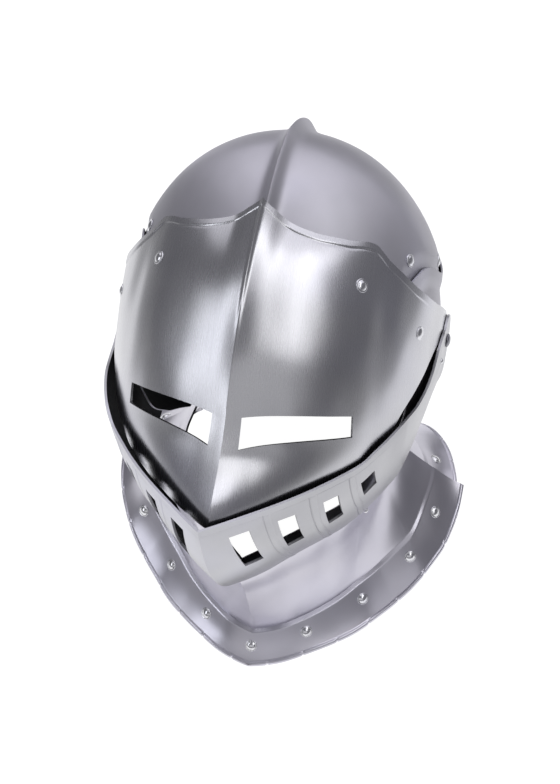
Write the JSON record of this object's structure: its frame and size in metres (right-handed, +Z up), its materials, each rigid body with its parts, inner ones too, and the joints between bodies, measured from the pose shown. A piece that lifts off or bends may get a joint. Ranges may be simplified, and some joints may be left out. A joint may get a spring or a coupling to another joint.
{
  "type": "armet helmet",
  "caption": "Closed steel armet: combed skull, keeled visor with eye slits, pierced bevor on shared side pivots, and a flared gorget with a rolled rim.",
  "frame": {"origin": "middle of the bounding box in plan, on the surface the gorget stands on", "axes": "+Z up as it stands; -Y the way the visor faces; +X the wearer's left; the side pivots lie along X"},
  "size_m": [0.2622, 0.3238, 0.3454],
  "materials": {
    "skull_steel": "matt ground grey",
    "nape_steel": "matt ground grey",
    "visor_steel": "polished satin",
    "bevor_steel": "satin",
    "gorget_front_steel": "satin",
    "gorget_back_steel": "satin",
    "rivet_steel": "polished",
    "stud_steel": "polished",
    "pin_steel": "dark, as forged"
  },
  "bodies": {
    "skull": {"back_rivet_a_left": "rivet_steel", "back_rivet_a_right": "rivet_steel", "back_rivet_b_left": "rivet_steel", "back_rivet_b_right": "rivet_steel", "back_rivet_middle": "rivet_steel", "gorget_back": "gorget_back_steel", "nape_plate": "nape_steel", "pivot_pin_left": "pin_steel", "pivot_pin_right": "pin_steel", "skull_bowl": "skull_steel", "skull_rivet_front_left": "rivet_steel", "skull_rivet_front_right": "rivet_steel", "skull_rivet_rear_left": "rivet_steel", "skull_rivet_rear_right": "rivet_steel"},
    "bevor_body": {"bevor": "bevor_steel", "bevor_arm_stud_left": "stud_steel", "bevor_arm_stud_right": "stud_steel", "gorget_front": "gorget_front_steel", "gorget_rivet_a_left": "rivet_steel", "gorget_rivet_a_right": "rivet_steel", "gorget_rivet_b_left": "rivet_steel", "gorget_rivet_b_right": "rivet_steel", "gorget_rivet_c_left": "rivet_steel", "gorget_rivet_c_right": "rivet_steel", "gorget_rivet_d_left": "rivet_steel", "gorget_rivet_d_right": "rivet_steel", "gorget_rivet_middle": "rivet_steel", "throat_stud_left": "stud_steel", "throat_stud_right": "stud_steel"},
    "visor_body": {"visor": "visor_steel", "visor_rivet_brow_left": "rivet_steel", "visor_rivet_brow_right": "rivet_steel", "visor_rivet_side_left": "rivet_steel", "visor_rivet_side_right": "rivet_steel"}
  },
  "joints": [
    {"name": "bevor_swing", "type": "hinge", "parent": "skull", "child": "bevor_body", "pos_m": [0, 0.05066, 0.19389], "axis": [-1, 0, 0], "range_deg": [0, 50]},
    {"name": "visor_swing", "type": "hinge", "parent": "bevor_body", "child": "visor_body", "pos_m": [0, 0.05066, 0.19389], "axis": [-1, 0, 0], "range_deg": [0, 60]}
  ]
}
